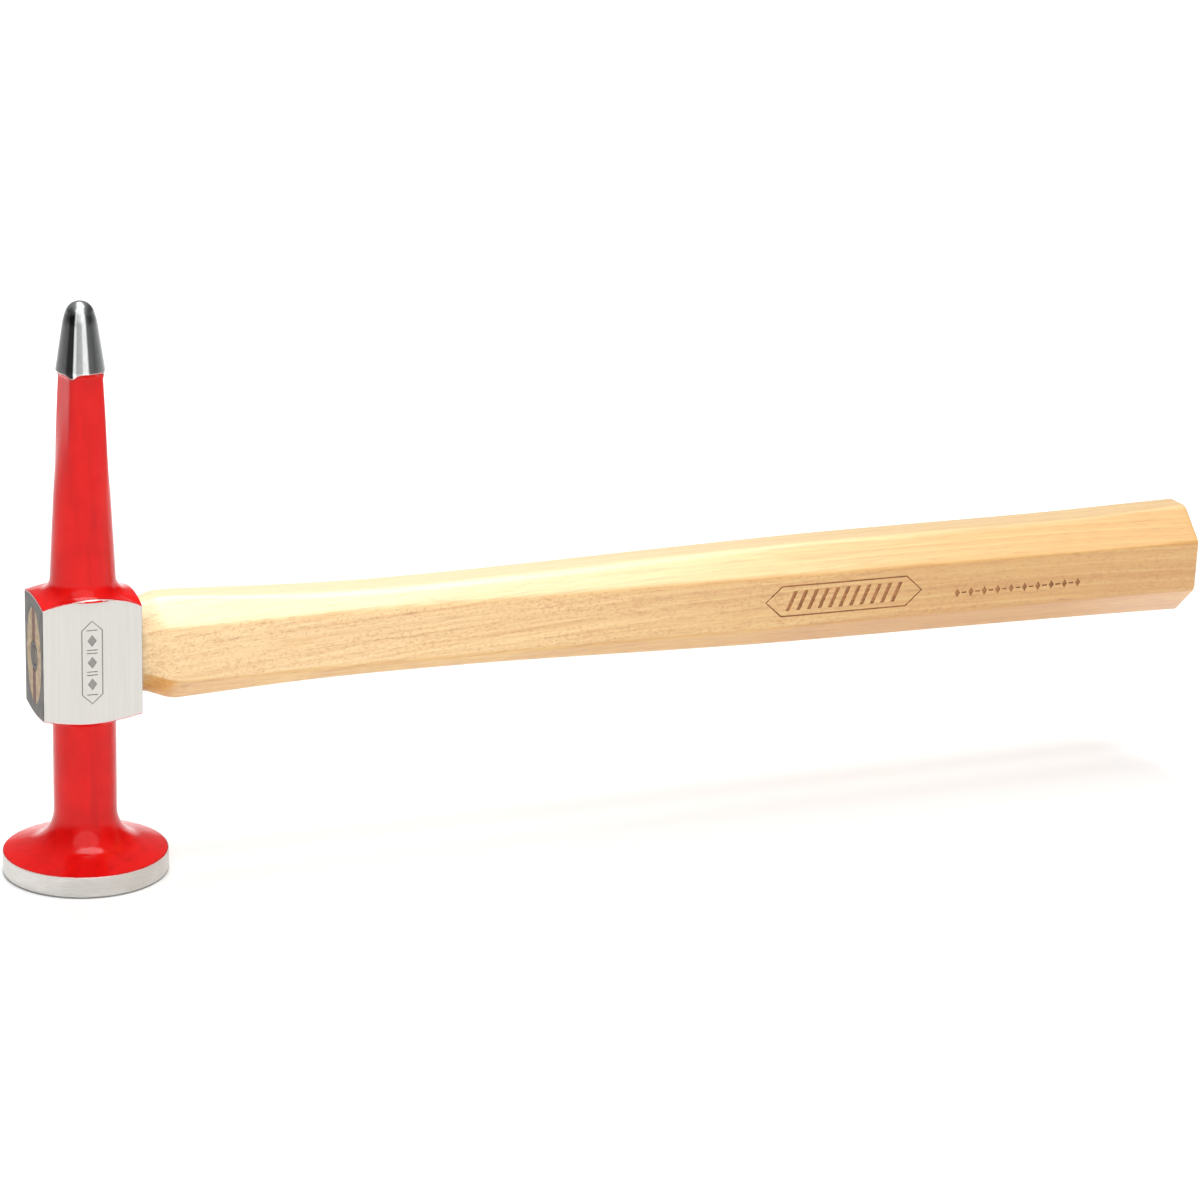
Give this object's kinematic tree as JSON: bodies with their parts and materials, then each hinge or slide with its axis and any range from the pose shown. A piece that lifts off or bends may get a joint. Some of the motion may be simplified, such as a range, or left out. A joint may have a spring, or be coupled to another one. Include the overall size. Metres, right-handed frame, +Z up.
{
  "type": "panel-beating hammer",
  "caption": "Panel-beating hammer with a round flat striking disc, a blunt pick and a faceted hickory handle wedged in the eye.",
  "frame": {"origin": "centre of the flat striking face", "axes": "+Z up the head's axis from the striking face to the tip of the pick, +X along the handle away from the head, +Y across the handle"},
  "size_m": [0.323, 0.04, 0.141],
  "materials": {
    "red_enamel_steel": "glossy red enamel over forged steel, ground bare on the block, the rim and the tip",
    "hickory": "clear lacquered hickory with fine long grain",
    "wedge_wood": "dark hardwood end grain, lightly ground",
    "bare_steel": "ground bare steel"
  },
  "bodies": {
    "root": {"head": "red_enamel_steel", "handle": "hickory", "wooden_wedge": "wedge_wood", "ring_wedge": "bare_steel"}
  },
  "joints": []
}
